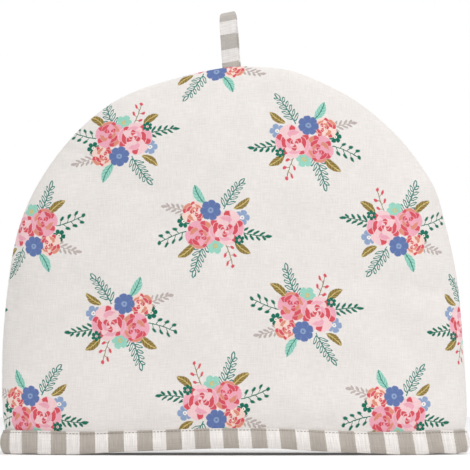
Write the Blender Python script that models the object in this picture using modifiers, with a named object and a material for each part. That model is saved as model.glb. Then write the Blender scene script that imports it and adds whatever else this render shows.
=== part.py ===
"""A padded tea cosy that stands open on its bound hem.

Two wadded panels, front and back, are sewn together along one curved seam that runs up
one side, over the top and down the other. A striped binding wraps the lower edge of each
panel, and a striped strap, folded in two, is caught in the seam at the top as a hanging loop.

Metres, +Z up. The origin is on the floor under the middle of the cosy, +X runs along the
hem to the right as the cosy is seen from the front, and the front faces -Y.
"""

import math

import bmesh
import bpy
from mathutils import Matrix, Vector

# Driving dimensions
OVERALL_WIDTH = 0.330  # across the bound hem, seen from the front
SEAM_TOP = 0.274  # floor to the top of the curved seam
OVERALL_DEPTH = 0.106  # front to back across the bound hem
WADDING = 0.0065  # one panel: printed cloth, wadding and plain cloth inside
SHOULDER = 3.3  # how square the outline's shoulders are: 2 would be an ellipse
RIDGE = 0.5  # how much sharper the top of the seam is than its sides
LEAN_IN = 0.25  # share of the depth lost towards the top
LEAN_CURVE = 1.3  # above 1, most of that is lost near the top
LEVEL_ROWS = 0.6  # share of the height over which the rows turn from level to curved
SEAM_FIRM = 0.5  # share of the depth, next to the seam, where troughs fade out
FIT_GAP = 0.0004  # between pieces that touch
SEAM_GAP = 0.0003  # between the two halves along the seam

# The hem's middle stands a little off the floor, and its ends rest flat
HEM_LIFT = 0.0049
HEM_ARCH = 0.72  # share of the half width over which the hem is lifted

# Binding
BINDING_CLOTH = 0.001
BINDING_HEIGHT = 0.017
BINDING_PLUMP = 0.0003  # how far its middle swells out
CLEAR_OF_BINDING = 2.5 * BINDING_HEIGHT  # above this, the panel is free to sag and bend

# The binding's outer leg, downwards: how far its face swells out, and how high
BINDING_LEG = (
    (0.0, BINDING_HEIGHT),
    (BINDING_PLUMP, 0.62 * BINDING_HEIGHT),
    (BINDING_PLUMP, 0.22 * BINDING_HEIGHT),
    (-0.0004, 0.0009),
    (-0.0020, 0.0),
)

# Hanging loop
LOOP_WIDTH = 0.012
LOOP_CLOTH = 0.0016
LOOP_RISE = 0.0385  # above the seam
LOOP_TUCK = 0.005  # into the seam
LOOP_BEND = 0.0034  # radius of the fold at its top, to the middle of the cloth
LOOP_X = -0.0018  # where it leaves the seam
LOOP_LEAN = math.radians(-4.2)
LOOP_OPEN = 0.75  # share of each leg over which the strap spreads apart
LOOP_SKEW = 0.0012  # how far its back leg lies to the right of its front leg
LOOP_TWIST = (0.3, 0.7)  # shares of the strap's length between which it skews
LOOP_ROOM = 0.0006  # spare width in the seam for its feet

# How finely the pieces are divided
COLUMNS = 40
PANEL_ROWS = 18
LOOP_STEPS = 26

PANEL_WIDTH = OVERALL_WIDTH - 2 * (FIT_GAP + BINDING_CLOTH + BINDING_PLUMP)
PANEL_DEPTH = OVERALL_DEPTH - 2 * (FIT_GAP + BINDING_CLOTH + BINDING_PLUMP)
PANEL_FOOT = 0.0032  # the panel's cut edge, above the binding's underside

# Places where the outline isn't even: x and z of the middle, reach, shift in x and in z
UNEVEN_OUTLINE = (
    (-0.046, 0.268, 0.034, 0.0, -0.0034),
    (-0.155, 0.165, 0.048, -0.0030, 0.0),
    (-0.163, 0.075, 0.045, -0.0014, 0.0),
    (0.140, 0.188, 0.018, 0.0022, 0.0),
    (0.158, 0.140, 0.030, -0.0009, 0.0),
    (0.160, 0.085, 0.035, -0.0016, 0.0),
)

# Soft troughs in each panel: x and z of one end, x and z of the other, width, depth
FRONT_TROUGHS = (
    (-0.150, 0.030, -0.100, 0.110, 0.014, 0.0020),
    (0.152, 0.026, 0.112, 0.095, 0.013, 0.0022),
    (0.085, 0.122, 0.158, 0.112, 0.010, 0.0018),
    (-0.120, 0.205, -0.070, 0.188, 0.012, 0.0014),
    (0.030, 0.250, 0.055, 0.200, 0.013, 0.0014),
)
BACK_TROUGHS = (
    (-0.150, 0.026, -0.110, 0.100, 0.014, 0.0022),
    (0.150, 0.030, 0.098, 0.120, 0.013, 0.0018),
    (-0.150, 0.130, -0.080, 0.142, 0.011, 0.0018),
    (0.118, 0.208, 0.066, 0.186, 0.012, 0.0014),
)

FRONT = -1
BACK = 1


def smooth_step(low, high, value):
    """0 below low, 1 above high, and an even S between them."""
    share = min(1.0, max(0.0, (value - low) / (high - low)))
    return share * share * (3 - 2 * share)


def hem_lift(x):
    """How high the hem stands off the floor at x."""
    inside = 1 - (x / (HEM_ARCH * OVERALL_WIDTH / 2)) ** 2
    return HEM_LIFT * max(0.0, inside) ** 2


def freedom(z):
    """0 where the binding holds the panel's edge, and 1 well above it."""
    return smooth_step(BINDING_HEIGHT, CLEAR_OF_BINDING, z)


def uneven(x, z):
    """The point moved as the sewn outline is uneven."""
    dx = dz = 0.0
    for middle_x, middle_z, reach, shift_x, shift_z in UNEVEN_OUTLINE:
        away = ((x - middle_x) ** 2 + (z - middle_z) ** 2) / reach**2
        dx += shift_x * math.exp(-away)
        dz += shift_z * math.exp(-away)
    return x + dx * freedom(z), z + dz * freedom(z)


def trough_depth(troughs, x, z):
    """How far the panel is pressed in at a point, by all its soft troughs."""
    total = 0.0
    for start_x, start_z, end_x, end_z, width, depth in troughs:
        along = Vector((end_x - start_x, end_z - start_z))
        away = Vector((x - start_x, z - start_z))
        share = away.dot(along) / along.length_squared
        nearest = along * min(1.0, max(0.0, share))
        total += depth * math.exp(-(((away - nearest).length / width) ** 2))
    return total * freedom(z)


def panel_point(across, up, inset, side, troughs):
    """A point of a panel's outer face, or of a face inset from it.

    across runs from -1 to 1 between the side seams, and up from 0 at the hem to 1 at the
    top. The square that they span is laid on a half disc, which is then drawn out to the
    outline. The radius on that disc is 0 at the middle of the hem and 1 on the seam.
    """
    half_width = PANEL_WIDTH / 2 - inset
    half_depth = PANEL_DEPTH / 2 - inset
    stretch = 2 / SHOULDER
    quarter = math.pi / 2

    # Rows near the hem run level with it, and rows near the top follow the seam
    rise = math.sin(abs(across) * quarter) / abs(across) if across else quarter
    level = (math.sqrt(1 - across**2 / 2) * rise) ** stretch
    follow = smooth_step(0, LEVEL_ROWS, up)
    row = (up * ((1 - follow) / level + follow)) ** (1 / stretch)

    disc_x = across * math.sqrt(1 - row**2 / 2)
    disc_z = row * math.sqrt(1 - across**2 / 2)
    radius = min(1.0, math.hypot(disc_x, disc_z))
    outwards = math.sin(radius * quarter) / radius if radius else quarter
    steep = (disc_z / radius) ** 2 if radius else 0.0
    puff = max(0.0, math.cos(radius * quarter)) ** (1 + RIDGE * steep)

    x = half_width * disc_x * outwards
    foot = PANEL_FOOT + hem_lift(x)
    share_up = (disc_z * outwards) ** stretch
    z = foot + (SEAM_TOP - inset - foot) * share_up
    depth = half_depth * puff * (1 - LEAN_IN * share_up**LEAN_CURVE)
    depth -= trough_depth(troughs, x, z) * smooth_step(0, SEAM_FIRM, puff)
    x, z = uneven(x, z)
    return Vector((x, side * (depth + SEAM_GAP / 2), z))


def binding_point(across, proud, height, side):
    """A point beside the hem: proud of the panel's outer face, and at a height."""
    turn = across * math.pi / 2
    x = (PANEL_WIDTH / 2 + proud) * math.sin(turn)
    depth = (PANEL_DEPTH / 2 + proud) * max(0.0, math.cos(turn))
    x, z = uneven(x, height + hem_lift(x))
    return Vector((x, side * (depth + SEAM_GAP / 2), z))


def binding_section():
    """Outline of the binding's outer face, from the top of its outer leg, under the hem, to
    the top of its inner leg: how far proud of the panel, and how high."""
    outer_leg = [(FIT_GAP + BINDING_CLOTH + swell, height) for swell, height in BINDING_LEG]
    inner_leg = [(-WADDING - proud, height) for proud, height in reversed(outer_leg)]
    return [*outer_leg, *inner_leg]


def loop_line(share):
    """y and z of the middle of the strap's cloth, from the foot of its front leg (0), over
    the fold (0.5), to the foot of its back leg (1). z is 0 at the seam."""
    centre = LOOP_RISE - LOOP_CLOTH / 2 - LOOP_BEND
    leg = centre + LOOP_TUCK
    bend = math.pi * LOOP_BEND
    run = share * (2 * leg + bend)
    together = (LOOP_CLOTH + FIT_GAP) / 2
    if leg < run < leg + bend:
        turn = (run - leg) / LOOP_BEND
        return -LOOP_BEND * math.cos(turn), centre + LOOP_BEND * math.sin(turn)
    front = run <= leg
    up = run if front else 2 * leg + bend - run
    spread = together + (LOOP_BEND - together) * smooth_step(LOOP_TUCK, leg * LOOP_OPEN, up)
    return (-spread if front else spread), up - LOOP_TUCK


def cloth_material(name, colour, roughness):
    """A plain matt cloth."""
    material = bpy.data.materials.new(name)
    material.use_nodes = True
    shader = material.node_tree.nodes["Principled BSDF"]
    shader.inputs["Base Color"].default_value = (*colour, 1)
    shader.inputs["Roughness"].default_value = roughness
    shader.inputs["Metallic"].default_value = 0
    return material


def add_piece(name, bm, material, collection):
    """The mesh as a named object in the collection, shaded smooth."""
    bmesh.ops.recalc_face_normals(bm, faces=bm.faces)
    mesh = bpy.data.meshes.new(name)
    bm.to_mesh(mesh)
    bm.free()
    mesh.shade_smooth()
    mesh.materials.append(material)
    piece = bpy.data.objects.new(name, mesh)
    collection.objects.link(piece)
    return piece


def add_thickness(piece, thickness):
    """Thickens an open sheet inwards, from the face that it is drawn on."""
    solidify = piece.modifiers.new("cloth thickness", "SOLIDIFY")
    solidify.thickness = thickness
    solidify.offset = -1
    solidify.use_even_offset = True


def make_panel(name, side, troughs, material, collection):
    """A wadded panel: its outer face and its inner face, joined along their edges."""
    bm = bmesh.new()
    bmesh.ops.create_grid(bm, x_segments=COLUMNS, y_segments=PANEL_ROWS, size=1)
    outer_faces = list(bm.faces)
    copied = bmesh.ops.duplicate(bm, geom=bm.verts[:] + bm.edges[:] + outer_faces)
    inner = [item for item in copied["geom"] if isinstance(item, bmesh.types.BMVert)]
    inner_faces = [item for item in copied["geom"] if isinstance(item, bmesh.types.BMFace)]
    outer = [vert for face in outer_faces for vert in face.verts]
    for verts, inset in ((set(outer), 0.0), (inner, WADDING)):
        for vert in verts:
            across, up = vert.co.x, (vert.co.y + 1) / 2
            vert.co = panel_point(across, up, inset, side, troughs)
    bmesh.ops.reverse_faces(bm, faces=inner_faces)
    rims = [edge for edge in bm.edges if edge.is_boundary]
    bmesh.ops.bridge_loops(bm, edges=rims)
    return add_piece(name, bm, material, collection)


def make_binding(name, side, material, collection):
    """One length of binding, folded under the hem from one side seam to the other."""
    section = binding_section()
    bm = bmesh.new()
    bmesh.ops.create_grid(bm, x_segments=COLUMNS, y_segments=len(section) - 1, size=1)
    for vert in bm.verts:
        place = round((vert.co.y + 1) / 2 * (len(section) - 1))
        proud, height = section[place]
        vert.co = binding_point(vert.co.x, proud, height, side)
    if side == FRONT:
        bmesh.ops.reverse_faces(bm, faces=bm.faces)
    mesh = bpy.data.meshes.new(name)
    bm.to_mesh(mesh)
    bm.free()
    mesh.shade_smooth()
    mesh.materials.append(material)
    binding = bpy.data.objects.new(name, mesh)
    collection.objects.link(binding)
    add_thickness(binding, BINDING_CLOTH)
    return binding


def make_loop(name, material, collection):
    """The strap, folded in two and leaning as it is sewn."""
    bm = bmesh.new()
    bmesh.ops.create_grid(bm, x_segments=2, y_segments=LOOP_STEPS, size=1)
    for vert in bm.verts:
        share = (vert.co.y + 1) / 2
        y, z = loop_line(share)
        x = vert.co.x * LOOP_WIDTH / 2 + LOOP_SKEW * (smooth_step(*LOOP_TWIST, share) - 0.5)
        vert.co = Vector((x, y, z))
    loop = add_piece(name, bm, material, collection)
    solidify = loop.modifiers.new("cloth thickness", "SOLIDIFY")
    solidify.thickness = LOOP_CLOTH
    solidify.offset = 0
    solidify.use_even_offset = True
    loop.location = (LOOP_X, 0, loop_seam_height())
    loop.rotation_euler = (0, LOOP_LEAN, 0)
    return loop


def loop_seam_height():
    """Height of the seam where the loop leaves it."""
    return uneven(LOOP_X, SEAM_TOP)[1]


def cut_pocket(panels, collection):
    """Makes room in the seam for the loop's two feet."""
    bm = bmesh.new()
    bmesh.ops.create_cube(bm, size=1)
    room = (
        LOOP_WIDTH + LOOP_SKEW + 2 * FIT_GAP + LOOP_ROOM,
        2 * LOOP_CLOTH + 3 * FIT_GAP,
        3 * LOOP_TUCK,
    )
    bmesh.ops.transform(bm, matrix=Matrix.Diagonal((*room, 1)), verts=bm.verts)
    mesh = bpy.data.meshes.new("pocket")
    bm.to_mesh(mesh)
    bm.free()
    pocket = bpy.data.objects.new("pocket", mesh)
    pocket.location = (LOOP_X, 0, loop_seam_height())
    pocket.rotation_euler = (0, LOOP_LEAN, 0)
    pocket.hide_render = True
    pocket.display_type = "WIRE"
    collection.objects.link(pocket)
    for panel in panels:
        cut = panel.modifiers.new("room for the loop", "BOOLEAN")
        cut.operation = "DIFFERENCE"
        cut.object = pocket


def main():
    for old in list(bpy.data.objects):
        bpy.data.objects.remove(old)
    pieces = bpy.data.collections.new("tea cosy")
    cutters = bpy.data.collections.new("cutters")
    bpy.context.scene.collection.children.link(pieces)
    bpy.context.scene.collection.children.link(cutters)

    printed = cloth_material("printed cotton", (0.82, 0.79, 0.76), 0.9)
    striped = cloth_material("striped cotton", (0.52, 0.48, 0.44), 0.9)

    panels = [
        make_panel("front_panel", FRONT, FRONT_TROUGHS, printed, pieces),
        make_panel("back_panel", BACK, BACK_TROUGHS, printed, pieces),
    ]
    make_binding("front_binding", FRONT, striped, pieces)
    make_binding("back_binding", BACK, striped, pieces)
    make_loop("hanging_loop", striped, pieces)
    cut_pocket(panels, cutters)


main()
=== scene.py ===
import math
from functools import partial

import bpy
import numpy as np
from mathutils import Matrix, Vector, noise


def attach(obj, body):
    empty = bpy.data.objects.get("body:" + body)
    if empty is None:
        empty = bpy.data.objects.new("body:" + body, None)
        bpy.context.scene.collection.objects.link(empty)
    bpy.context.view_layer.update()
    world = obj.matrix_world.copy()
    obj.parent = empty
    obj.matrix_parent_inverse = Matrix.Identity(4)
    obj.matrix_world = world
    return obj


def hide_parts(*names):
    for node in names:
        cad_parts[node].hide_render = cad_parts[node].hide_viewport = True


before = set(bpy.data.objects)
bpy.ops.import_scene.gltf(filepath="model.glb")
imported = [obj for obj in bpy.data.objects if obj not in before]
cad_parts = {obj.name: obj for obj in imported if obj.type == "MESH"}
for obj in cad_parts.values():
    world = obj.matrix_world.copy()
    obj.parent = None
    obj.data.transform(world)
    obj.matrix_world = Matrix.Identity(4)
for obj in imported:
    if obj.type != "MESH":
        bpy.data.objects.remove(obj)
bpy.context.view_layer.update()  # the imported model: its nodes stay where they are
bpy.ops.object.select_all(action="DESELECT")
print("frame loaded:", ", ".join(sorted(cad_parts)))

# The cosy as it is cut and sewn, in metres, by the same sizes as its solids
cosy = {
    "width": 0.330,  # across the bound hem
    "seamTop": 0.274,
    "depth": 0.106,
    "wadding": 0.0065,  # printed cloth, wadding and plain cloth together
    "shoulder": 3.3,  # how square the outline's shoulders are
    "ridge": 0.5,  # how much sharper the seam's top is than its sides
    "leanIn": 0.25,  # share of the depth lost towards the top
    "leanCurve": 1.3,
    "levelRows": 0.6,
    "seamFirm": 0.5,
    "seamGap": 0.0003,
    "underBinding": 0.0017,  # from the binding's face in to the panel's
    "foot": 0.0032,  # the panels' cut edge, above the binding's underside
    "bindingHeight": 0.017,
    "hemLift": 0.0049,  # the hem's middle, off the floor
    "hemArch": 0.72,
}
panelHalfWidth = cosy["width"] / 2 - cosy["underBinding"]
panelHalfDepth = cosy["depth"] / 2 - cosy["underBinding"]

# Where the outline isn't even: x and z of the middle, reach, shift in x and in z
unevenOutline = (
    (-0.046, 0.268, 0.034, 0.0, -0.0034),
    (-0.155, 0.165, 0.048, -0.0030, 0.0),
    (-0.163, 0.075, 0.045, -0.0014, 0.0),
    (0.140, 0.188, 0.018, 0.0022, 0.0),
    (0.158, 0.140, 0.030, -0.0009, 0.0),
    (0.160, 0.085, 0.035, -0.0016, 0.0),
    (-0.020, 0.274, 0.020, 0.0, -0.0005),
    (0.128, 0.214, 0.022, 0.0005, 0.0006),
    (0.040, 0.270, 0.016, 0.0, 0.0013),
)

# Troughs and creases: x and z of one end, x and z of the other, width, depth
frontTroughs = (
    (-0.150, 0.030, -0.100, 0.110, 0.014, 0.0020),
    (0.152, 0.026, 0.112, 0.095, 0.013, 0.0022),
    (0.085, 0.122, 0.158, 0.112, 0.010, 0.0018),
    (-0.120, 0.205, -0.070, 0.188, 0.012, 0.0014),
    (0.030, 0.250, 0.055, 0.200, 0.013, 0.0014),
)
backTroughs = (
    (-0.150, 0.026, -0.110, 0.100, 0.014, 0.0022),
    (0.150, 0.030, 0.098, 0.120, 0.013, 0.0018),
    (-0.150, 0.130, -0.080, 0.142, 0.011, 0.0018),
    (0.118, 0.208, 0.066, 0.186, 0.012, 0.0014),
)
frontCreases = (
    (0.130, 0.116, 0.160, 0.108, 0.0035, 0.0009),
    (0.136, 0.104, 0.158, 0.101, 0.0035, 0.0006),
    (-0.120, 0.216, -0.096, 0.208, 0.0035, 0.0008),
    (-0.014, 0.266, -0.034, 0.236, 0.0050, 0.0009),
    (0.014, 0.266, 0.020, 0.238, 0.0050, 0.0007),
    (-0.094, 0.026, -0.088, 0.046, 0.0050, 0.0005),
    (0.061, 0.026, 0.056, 0.042, 0.0050, 0.0005),
    (-0.146, 0.060, -0.132, 0.066, 0.0040, 0.0006),
    (-0.1535, 0.150, -0.1565, 0.100, 0.0035, 0.0008),
)
backCreases = (
    (-0.130, 0.126, -0.158, 0.120, 0.0035, 0.0009),
    (0.126, 0.212, 0.100, 0.202, 0.0035, 0.0008),
    (0.012, 0.266, 0.032, 0.236, 0.0050, 0.0009),
    (-0.014, 0.266, -0.022, 0.240, 0.0050, 0.0007),
    (0.070, 0.026, 0.066, 0.044, 0.0050, 0.0005),
    (-0.110, 0.026, -0.104, 0.048, 0.0050, 0.0005),
)


def smoothStep(low, high, value):
    share = np.clip((value - low) / (high - low), 0, 1)
    return share * share * (3 - 2 * share)


def hemLift(x):
    inside = 1 - (x / (cosy["hemArch"] * cosy["width"] / 2)) ** 2
    return cosy["hemLift"] * np.maximum(0, inside) ** 2


# The binding holds the panel's edge, so the outline and the troughs only vary above it
def freedom(z):
    return smoothStep(cosy["bindingHeight"], 2.5 * cosy["bindingHeight"], z)


def uneven(x, z):
    free = freedom(z)
    newX = np.array(x, dtype=float)
    newZ = np.array(z, dtype=float)
    for middleX, middleZ, reach, shiftX, shiftZ in unevenOutline:
        near = np.exp(-((x - middleX) ** 2 + (z - middleZ) ** 2) / reach**2)
        newX += shiftX * near * free
        newZ += shiftZ * near * free
    return newX, newZ


def pressedIn(troughs, x, z):
    total = np.zeros_like(x)
    for startX, startZ, endX, endZ, width, depth in troughs:
        alongX, alongZ = endX - startX, endZ - startZ
        share = ((x - startX) * alongX + (z - startZ) * alongZ) / (alongX**2 + alongZ**2)
        share = np.clip(share, 0, 1)
        away = np.hypot(x - startX - share * alongX, z - startZ - share * alongZ)
        total += depth * np.exp(-((away / width) ** 2))
    return total


# One face of a panel. across runs from -1 to 1 between the side seams and up from 0 at the
# hem to 1 at the top: that square is laid on a half disc and drawn out to the outline.
def panelFace(across, up, inset, troughs):
    stretch = 2 / cosy["shoulder"]
    quarter = math.pi / 2
    flat = np.maximum(np.abs(across), 1e-9)
    level = (np.sqrt(1 - across**2 / 2) * np.sin(flat * quarter) / flat) ** stretch
    follow = smoothStep(0, cosy["levelRows"], up)
    row = (up * ((1 - follow) / level + follow)) ** (1 / stretch)
    discX = across * np.sqrt(1 - row**2 / 2)
    discZ = row * np.sqrt(1 - across**2 / 2)
    radius = np.clip(np.hypot(discX, discZ), 1e-9, 1)
    outwards = np.sin(radius * quarter) / radius
    steep = (discZ / radius) ** 2
    puff = np.maximum(0, np.cos(radius * quarter)) ** (1 + cosy["ridge"] * steep)
    x = (panelHalfWidth - inset) * discX * outwards
    foot = cosy["foot"] + hemLift(x)
    shareUp = (discZ * outwards) ** stretch
    z = foot + (cosy["seamTop"] - inset - foot) * shareUp
    depth = (panelHalfDepth - inset) * puff * (1 - cosy["leanIn"] * shareUp ** cosy["leanCurve"])
    depth = depth - pressedIn(troughs, x, z) * freedom(z) * smoothStep(0, cosy["seamFirm"], puff)
    toSeam = np.hypot(depth, panelHalfWidth * (1 - radius * outwards))
    return x, depth, z, toSeam


# The smooth face's depth where x and z are known, for measuring along the cloth
def faceDepth(x, z):
    foot = cosy["foot"] + hemLift(x)
    shareUp = np.clip((z - foot) / (cosy["seamTop"] - foot), 0, 1)
    reachX = x / panelHalfWidth
    reachZ = shareUp ** (cosy["shoulder"] / 2)
    reach = np.clip(reachX**2 + reachZ**2, 1e-12, 1)
    puff = (1 - reach) ** ((1 + cosy["ridge"] * reachZ**2 / reach) / 2)
    return panelHalfDepth * puff * (1 - cosy["leanIn"] * shareUp ** cosy["leanCurve"])


# How far a point of the panel is from its middle and from its foot, along the cloth
def clothLength(x, z):
    steps = np.sin(np.linspace(0, 1, 41) * math.pi / 2)
    foot = cosy["foot"] + hemLift(x)
    alongX = x[:, None] * steps
    level = faceDepth(alongX, np.repeat(z[:, None], steps.size, axis=1))
    u = np.hypot(np.diff(alongX), np.diff(level)).sum(axis=1) * np.sign(x)
    alongZ = foot[:, None] + (z - foot)[:, None] * steps
    rise = faceDepth(np.repeat(x[:, None], steps.size, axis=1), alongZ)
    v = np.hypot(np.diff(alongZ), np.diff(rise)).sum(axis=1)
    return u, v


# Where a point of the seam is along its length, from the right end of the hem
def seamLength(across, up):
    turns = np.linspace(0, math.pi, 2001)
    outlineX = panelHalfWidth * np.cos(turns)
    outlineZ = cosy["seamTop"] * np.sin(turns) ** (2 / cosy["shoulder"])
    lengths = np.concatenate([[0], np.cumsum(np.hypot(np.diff(outlineX), np.diff(outlineZ)))])
    x, z = panelFace(across, up, 0, ())[::2]
    reachZ = np.clip(z / cosy["seamTop"], 0, 1) ** (cosy["shoulder"] / 2)
    turn = np.arctan2(reachZ, x / panelHalfWidth)
    return np.interp(turn, turns, lengths)


def softNoise(points, size, seed):
    scaled = points / size + seed
    return np.array([noise.noise(Vector(point)) for point in scaled])


def readPoints(mesh, field="co"):
    values = np.empty(len(mesh.vertices) * 3)
    mesh.vertices.foreach_get(field, values)
    return values.reshape(-1, 3)


def writePoints(mesh, points):
    mesh.vertices.foreach_set("co", np.ascontiguousarray(points, dtype=float).ravel())
    mesh.update()


# Gives each corner of the mesh its place on the flat cloth, in metres
def writeClothMap(mesh, u, v):
    while mesh.uv_layers:
        mesh.uv_layers.remove(mesh.uv_layers[0])
    layer = mesh.uv_layers.new(name="cloth")
    corners = np.empty(len(mesh.loops), dtype=np.int32)
    mesh.loops.foreach_get("vertex_index", corners)
    layer.data.foreach_set("uv", np.column_stack([u, v])[corners].ravel())


def toLinear(hexColour):
    parts = [int(hexColour[i : i + 2], 16) / 255 for i in (1, 3, 5)]
    linear = [p / 12.92 if p <= 0.04045 else ((p + 0.055) / 1.055) ** 2.4 for p in parts]
    return (*linear, 1.0)


# Adds a shader node. Its inputs are values, or nodes and sockets to link from.
def addNode(tree, kind, *inputs, **settings):
    node = tree.nodes.new("ShaderNode" + kind)
    for name, value in settings.items():
        setattr(node, name, value)
    sockets = [socket for socket in node.inputs if socket.enabled]
    for socket, value in zip(sockets, inputs):
        if isinstance(value, bpy.types.Node):
            value = next(output for output in value.outputs if output.enabled)
        if isinstance(value, bpy.types.NodeSocket):
            tree.links.new(value, socket)
        elif value is not None:
            socket.default_value = value
    return node


# Starts a material, with its even values on the shader's own sockets
def newMaterial(name, values):
    material = bpy.data.materials.new(name)
    material.use_nodes = True
    shader = material.node_tree.nodes["Principled BSDF"]
    for title, value in values.items():
        shader.inputs[title].default_value = value
    return material, material.node_tree


# Links a colour and a relief to the shader. The relief's values are its strength and height.
def finishMaterial(tree, colour, height, relief):
    shader = tree.nodes["Principled BSDF"]
    tree.links.new(colour, shader.inputs["Base Color"])
    bump = addNode(tree, "Bump", *relief)
    tree.links.new(height, bump.inputs["Height"])
    tree.links.new(bump.outputs[0], shader.inputs["Normal"])


# Makes the node group of a printed motif, which is drawn over the colour under it. The function
# that draws it is given addNode for this group, and the group's inputs.
def newMotif(name, draw, colours, numbers):
    group = bpy.data.node_groups.new(name, "ShaderNodeTree")
    kinds = {"Point": "NodeSocketVector", "Under": "NodeSocketColor"}
    kinds.update({title: "NodeSocketColor" for title in colours})
    kinds.update({title: "NodeSocketFloat" for title in numbers})
    for title, kind in kinds.items():
        group.interface.new_socket(name=title, in_out="INPUT", socket_type=kind)
    group.interface.new_socket(name="Colour", in_out="OUTPUT", socket_type="NodeSocketColor")
    colour = draw(partial(addNode, group), group.nodes.new("NodeGroupInput").outputs)
    group.links.new(colour.outputs[2], group.nodes.new("NodeGroupOutput").inputs[0])
    return group


# How far a point is from the middle, and its angle
def polar(add, point):
    away = add("VectorMath", point, operation="LENGTH")
    parts = add("SeparateXYZ", point)
    return away, add("Math", parts.outputs[1], parts.outputs[0], operation="ARCTAN2")


# The printed motifs. Each is drawn on its own measure, where 1 is its radius or its length.
ink = {
    "edge": 0.035,  # softness of a printed edge, as a share of the motif's size
    "line": 0.022,
}

roseRings = (  # petals, radius, where its middle lies, twist, notch, inks by turns, fold's ink
    (5, 1.00, 0.00, 0.00, 0.10, 0.15, "Middle", "Pale", "Deep"),
    (4, 0.74, 0.05, 0.06, 0.42, 0.17, "Deep", "Middle", "Pale"),
    (3, 0.49, 0.08, 0.11, 0.05, 0.20, "Pale", "Middle", "Deep"),
    (3, 0.27, 0.09, 0.14, 0.60, 0.22, "Deep", "Deep", "Pale"),
)


# A full-blown rose from above: rings of petals, each petal in one flat ink with its neighbour's
# fold across its side and a pale line round it
def drawRose(add, given):
    colour = given["Under"]
    for petals, radius, middleX, middleY, twist, notch, first, second, fold in roseRings:
        spot = add("VectorMath", given["Point"], (middleX, middleY, 0), operation="SUBTRACT")
        away, turn = polar(add, spot)
        share = add("Math", turn, petals / math.tau, twist, operation="MULTIPLY_ADD")
        petal = add("Math", share, operation="FRACT")
        which = add("Math", share, petal, operation="SUBTRACT")
        which = add("Math", which, petals, operation="FLOORED_MODULO")
        which = add("Math", which, 0.618, 0.1, operation="MULTIPLY_ADD")
        which = add("Math", which, operation="FRACT")
        which = add("Math", which, operation="ROUND")
        tint = add("Mix", which, given[first], given[second], data_type="RGBA")
        reach = add("Math", away, -0.55 / radius, petal, operation="MULTIPLY_ADD")
        folded = add("MapRange", reach, 0.20, 0.24, 0.0, 1.0)
        tint = add("Mix", folded, tint, given[fold], data_type="RGBA")
        fromMiddle = add("Math", petal, 0.5, operation="SUBTRACT")
        fromMiddle = add("Math", fromMiddle, 2.0, operation="MULTIPLY")
        cut = add("Math", fromMiddle, 4.0, operation="POWER")
        edge = add("Math", cut, -notch * radius, radius, operation="MULTIPLY_ADD")
        inside = add("Math", edge, away, operation="SUBTRACT")
        mask = add("MapRange", inside, -ink["edge"] / 2, ink["edge"] / 2, 0.0, 1.0)
        rim = add("Math", inside, 0.018, 0.026, operation="COMPARE")
        rim = add("Math", rim, 0.8, operation="MULTIPLY")
        tint = add("Mix", rim, tint, given["Pale"], data_type="RGBA")
        colour = add("Mix", mask, colour, tint, data_type="RGBA")
    return colour


# A small open flower with a round heart
def drawFlower(add, given):
    away, turn = polar(add, given["Point"])
    turn = add("Math", turn, 1 / math.tau, operation="MULTIPLY")
    share = add("Math", turn, given["Petals"], operation="MULTIPLY")
    petal = add("Math", share, operation="FRACT")
    cut = add("Math", petal, 0.5, operation="SUBTRACT")
    cut = add("Math", cut, 2.0, operation="MULTIPLY")
    cut = add("Math", cut, operation="ABSOLUTE")
    notch = add("Math", cut, 3.0, operation="POWER")
    notch = add("Math", notch, given["Notch"], operation="MULTIPLY")
    inside = add("Math", 1.0, notch, operation="SUBTRACT")
    inside = add("Math", inside, away, operation="SUBTRACT")
    mask = add("MapRange", inside, -ink["edge"], ink["edge"], 0.0, 1.0)
    shade = add("MapRange", away, 0.35, 0.95, 0.0, 1.0)
    tint = add("Mix", shade, given["Petal"], given["Tip"], data_type="RGBA")
    slit = add("MapRange", cut, 0.84, 0.98, 0.0, 0.7)
    slit = add("Math", slit, shade, operation="MULTIPLY")
    tint = add("Mix", slit, tint, given["Heart"], data_type="RGBA")
    heart = add("MapRange", away, 0.24, 0.30, 1.0, 0.0)
    tint = add("Mix", heart, tint, given["Heart"], data_type="RGBA")
    eye = add("MapRange", away, 0.08, 0.12, 1.0, 0.0)
    tint = add("Mix", eye, tint, given["Petal"], data_type="RGBA")
    return add("Mix", mask, given["Under"], tint, data_type="RGBA")


# A bent stem with shoots on both sides by turns, which lean forward by slant. reach is half its
# length, and bearing is the middle and half the length of the part that bears shoots.
def bentStem(add, given, count, slant, reach, bearing):
    parts = add("SeparateXYZ", given["Point"])
    along = parts.outputs[0]
    bend = add("Math", along, along, operation="MULTIPLY")
    bend = add("Math", bend, given["Bend"], operation="MULTIPLY")
    beside = add("Math", parts.outputs[1], bend, operation="SUBTRACT")
    away = add("Math", beside, operation="ABSOLUTE")
    below = add("Math", beside, 0.0, operation="LESS_THAN")
    below = add("Math", below, 0.5, operation="MULTIPLY")
    start = add("Math", away, -slant, along, operation="MULTIPLY_ADD")
    turn = add("Math", start, count, below, operation="MULTIPLY_ADD")
    turn = add("Math", turn, operation="FRACT")
    turn = add("Math", turn, 0.5, operation="SUBTRACT")
    fromShoot = add("Math", turn, count, operation="DIVIDE")
    foot = add("Math", start, fromShoot, operation="SUBTRACT")
    whole = add("Math", foot, *bearing, operation="COMPARE")
    stem = add("Math", beside, 0.0, ink["line"] * 0.7, operation="COMPARE")
    ends = add("Math", along, reach, reach, operation="COMPARE")
    stem = add("Math", stem, ends, operation="MULTIPLY")
    return along, beside, away, fromShoot, foot, whole, stem


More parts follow.
